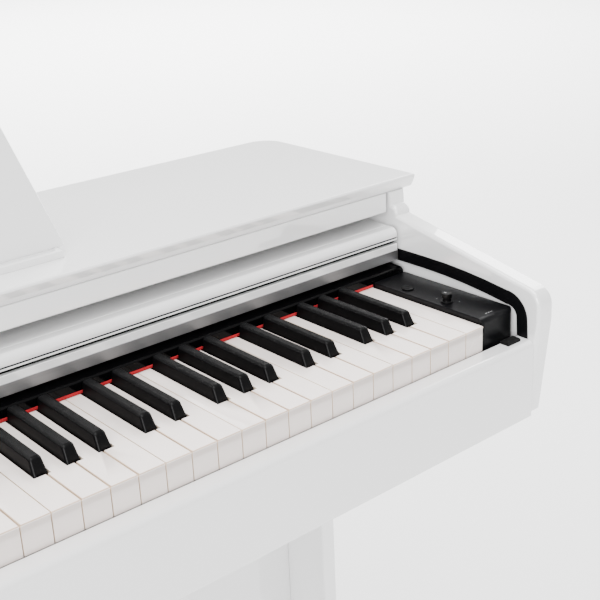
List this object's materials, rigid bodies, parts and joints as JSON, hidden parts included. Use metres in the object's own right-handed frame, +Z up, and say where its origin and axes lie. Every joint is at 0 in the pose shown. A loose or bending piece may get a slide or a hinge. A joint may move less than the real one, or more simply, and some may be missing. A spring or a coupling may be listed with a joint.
{
  "type": "digital piano on stand",
  "caption": "Slim white digital piano on a panel stand, with weighted keys, a sliding key cover, a folding music rest, black end blocks and a pedal box.",
  "frame": {"origin": "on the floor, under the middle of the whole instrument", "axes": "+Z up, the player sits on the -Y side, +X to the player's right"},
  "size_m": [1.386, 0.436, 1.0024],
  "materials": {
    "white_lacquer": "high gloss lacquer on board",
    "key_white": "smooth gloss",
    "key_black": "satin",
    "black_satin": "fine satin",
    "black_gloss": "high gloss",
    "button_black": "satin gloss",
    "red_felt": "pressed felt",
    "silver_trim": "satin anodised",
    "black_rubber": "matt",
    "steel": "bright zinc",
    "pedal_brass": "polished",
    "frame_plastic": "moulded",
    "circuit_card": "solder mask",
    "speaker_black": "moulded with paper cone"
  },
  "bodies": {
    "case": {"top_lid": "white_lacquer", "front_fascia": "white_lacquer", "left_arm": "white_lacquer", "right_arm": "white_lacquer", "key_slip": "white_lacquer", "key_bed": "white_lacquer", "rear_panel": "white_lacquer", "cover_guides": "black_satin", "cover_rails": "frame_plastic", "cover_bumpers": "black_rubber", "nameboard": "black_gloss", "key_felts": "red_felt", "left_block": "black_satin", "right_block": "black_satin", "rest_ledge": "white_lacquer", "rest_brackets": "steel", "key_frame": "frame_plastic", "key_pivot_rod": "steel", "sensor_board": "circuit_card", "main_board": "circuit_card", "speakers": "speaker_black", "speaker_grilles": "black_satin", "headphone_box": "black_satin", "power_inlet": "black_satin", "left_leg": "white_lacquer", "right_leg": "white_lacquer", "left_foot": "white_lacquer", "right_foot": "white_lacquer", "foot_pads": "black_rubber", "rear_board": "white_lacquer", "corner_brackets": "steel", "pedal_box": "white_lacquer", "pedal_rod": "steel"},
    "key_cover": {"cover_panel": "white_lacquer", "cover_nose": "white_lacquer", "cover_trim": "silver_trim", "cover_glides": "frame_plastic"},
    "music_rest": {"music_rest": "white_lacquer"},
    "rest_strut": {"rest_strut": "steel"},
    "volume_knob": {"volume_knob": "button_black"},
    "power_button": {"power_button": "button_black"},
    "left_pedal": {"left_pedal": "pedal_brass"},
    "middle_pedal": {"middle_pedal": "pedal_brass"},
    "right_pedal": {"right_pedal": "pedal_brass"},
    "pedal_adjuster": {"pedal_adjuster": "frame_plastic"},
    "white_keys": {"white_keys": "key_white"},
    "black_keys": {"black_keys": "key_black"},
    "key_c_top": {"key_c_top": "key_white"},
    "key_c_sharp_top": {"key_c_sharp_top": "key_black"},
    "key_d_top": {"key_d_top": "key_white"},
    "key_d_sharp_top": {"key_d_sharp_top": "key_black"},
    "key_e_top": {"key_e_top": "key_white"},
    "key_f_top": {"key_f_top": "key_white"},
    "key_f_sharp_top": {"key_f_sharp_top": "key_black"},
    "key_g_top": {"key_g_top": "key_white"},
    "key_g_sharp_top": {"key_g_sharp_top": "key_black"},
    "key_a_top": {"key_a_top": "key_white"},
    "key_a_sharp_top": {"key_a_sharp_top": "key_black"},
    "key_b_top": {"key_b_top": "key_white"},
    "key_c_last": {"key_c_last": "key_white"}
  },
  "joints": [
    {"name": "cover_slide", "type": "slide", "parent": "case", "child": "key_cover", "axis": [0, -1, 0], "range_m": [0, 0.165]},
    {"name": "rest_fold", "type": "hinge", "parent": "case", "child": "music_rest", "pos_m": [0, 0.038, 0.8375], "axis": [-1, 0, 0], "range_deg": [0, 65]},
    {"name": "strut_fold", "type": "hinge", "parent": "music_rest", "child": "rest_strut", "pos_m": [0, 0.07392, 0.91454], "axis": [1, 0, 0], "range_deg": [0, 130]},
    {"name": "knob_turn", "type": "hinge", "parent": "case", "child": "volume_knob", "pos_m": [0.6235, -0.135, 0.745], "axis": [0, 0, 1], "range_deg": [-140, 140]},
    {"name": "button_press", "type": "slide", "parent": "case", "child": "power_button", "axis": [0, 0, -1], "range_m": [0, 0.0012], "stiffness_N_per_m": 600, "springref_m": -0.002},
    {"name": "left_pedal_press", "type": "hinge", "parent": "case", "child": "left_pedal", "pos_m": [-0.078, 0.16, 0.0735], "axis": [1, 0, 0], "range_deg": [0, 6], "stiffness_Nm_per_rad": 12, "springref_deg": -8.59},
    {"name": "middle_pedal_press", "type": "hinge", "parent": "case", "child": "middle_pedal", "pos_m": [0, 0.16, 0.0735], "axis": [1, 0, 0], "range_deg": [0, 6], "stiffness_Nm_per_rad": 12, "springref_deg": -8.59},
    {"name": "right_pedal_press", "type": "hinge", "parent": "case", "child": "right_pedal", "pos_m": [0.078, 0.16, 0.0735], "axis": [1, 0, 0], "range_deg": [0, 6], "stiffness_Nm_per_rad": 12, "springref_deg": -8.59},
    {"name": "adjuster_turn", "type": "hinge", "parent": "case", "child": "pedal_adjuster", "pos_m": [0, 0.138, 0.01], "axis": [0, 0, 1], "range_deg": [-180, 180]},
    {"name": "key_c_top_press", "type": "hinge", "parent": "case", "child": "key_c_top", "pos_m": [0, 0.028, 0.7077], "axis": [1, 0, 0], "range_deg": [0, 2.6], "stiffness_Nm_per_rad": 0.9, "springref_deg": -20.05},
    {"name": "key_c_sharp_top_press", "type": "hinge", "parent": "case", "child": "key_c_sharp_top", "pos_m": [0, 0.028, 0.7077], "axis": [1, 0, 0], "range_deg": [0, 2.6], "stiffness_Nm_per_rad": 0.9, "springref_deg": -20.05},
    {"name": "key_d_top_press", "type": "hinge", "parent": "case", "child": "key_d_top", "pos_m": [0, 0.028, 0.7077], "axis": [1, 0, 0], "range_deg": [0, 2.6], "stiffness_Nm_per_rad": 0.9, "springref_deg": -20.05},
    {"name": "key_d_sharp_top_press", "type": "hinge", "parent": "case", "child": "key_d_sharp_top", "pos_m": [0, 0.028, 0.7077], "axis": [1, 0, 0], "range_deg": [0, 2.6], "stiffness_Nm_per_rad": 0.9, "springref_deg": -20.05},
    {"name": "key_e_top_press", "type": "hinge", "parent": "case", "child": "key_e_top", "pos_m": [0, 0.028, 0.7077], "axis": [1, 0, 0], "range_deg": [0, 2.6], "stiffness_Nm_per_rad": 0.9, "springref_deg": -20.05},
    {"name": "key_f_top_press", "type": "hinge", "parent": "case", "child": "key_f_top", "pos_m": [0, 0.028, 0.7077], "axis": [1, 0, 0], "range_deg": [0, 2.6], "stiffness_Nm_per_rad": 0.9, "springref_deg": -20.05},
    {"name": "key_f_sharp_top_press", "type": "hinge", "parent": "case", "child": "key_f_sharp_top", "pos_m": [0, 0.028, 0.7077], "axis": [1, 0, 0], "range_deg": [0, 2.6], "stiffness_Nm_per_rad": 0.9, "springref_deg": -20.05},
    {"name": "key_g_top_press", "type": "hinge", "parent": "case", "child": "key_g_top", "pos_m": [0, 0.028, 0.7077], "axis": [1, 0, 0], "range_deg": [0, 2.6], "stiffness_Nm_per_rad": 0.9, "springref_deg": -20.05},
    {"name": "key_g_sharp_top_press", "type": "hinge", "parent": "case", "child": "key_g_sharp_top", "pos_m": [0, 0.028, 0.7077], "axis": [1, 0, 0], "range_deg": [0, 2.6], "stiffness_Nm_per_rad": 0.9, "springref_deg": -20.05},
    {"name": "key_a_top_press", "type": "hinge", "parent": "case", "child": "key_a_top", "pos_m": [0, 0.028, 0.7077], "axis": [1, 0, 0], "range_deg": [0, 2.6], "stiffness_Nm_per_rad": 0.9, "springref_deg": -20.05},
    {"name": "key_a_sharp_top_press", "type": "hinge", "parent": "case", "child": "key_a_sharp_top", "pos_m": [0, 0.028, 0.7077], "axis": [1, 0, 0], "range_deg": [0, 2.6], "stiffness_Nm_per_rad": 0.9, "springref_deg": -20.05},
    {"name": "key_b_top_press", "type": "hinge", "parent": "case", "child": "key_b_top", "pos_m": [0, 0.028, 0.7077], "axis": [1, 0, 0], "range_deg": [0, 2.6], "stiffness_Nm_per_rad": 0.9, "springref_deg": -20.05},
    {"name": "key_c_last_press", "type": "hinge", "parent": "case", "child": "key_c_last", "pos_m": [0, 0.028, 0.7077], "axis": [1, 0, 0], "range_deg": [0, 2.6], "stiffness_Nm_per_rad": 0.9, "springref_deg": -20.05},
    {"name": "white_keys_press", "type": "hinge", "parent": "case", "child": "white_keys", "pos_m": [0, 0.028, 0.7077], "axis": [1, 0, 0], "range_deg": [0, 2.6], "stiffness_Nm_per_rad": 40, "springref_deg": -20.05},
    {"name": "black_keys_press", "type": "hinge", "parent": "case", "child": "black_keys", "pos_m": [0, 0.028, 0.7077], "axis": [1, 0, 0], "range_deg": [0, 2.6], "stiffness_Nm_per_rad": 22, "springref_deg": -20.05}
  ],
  "couplings": [
    {"joint": "strut_fold", "follows": "rest_fold", "ratio": 2}
  ]
}
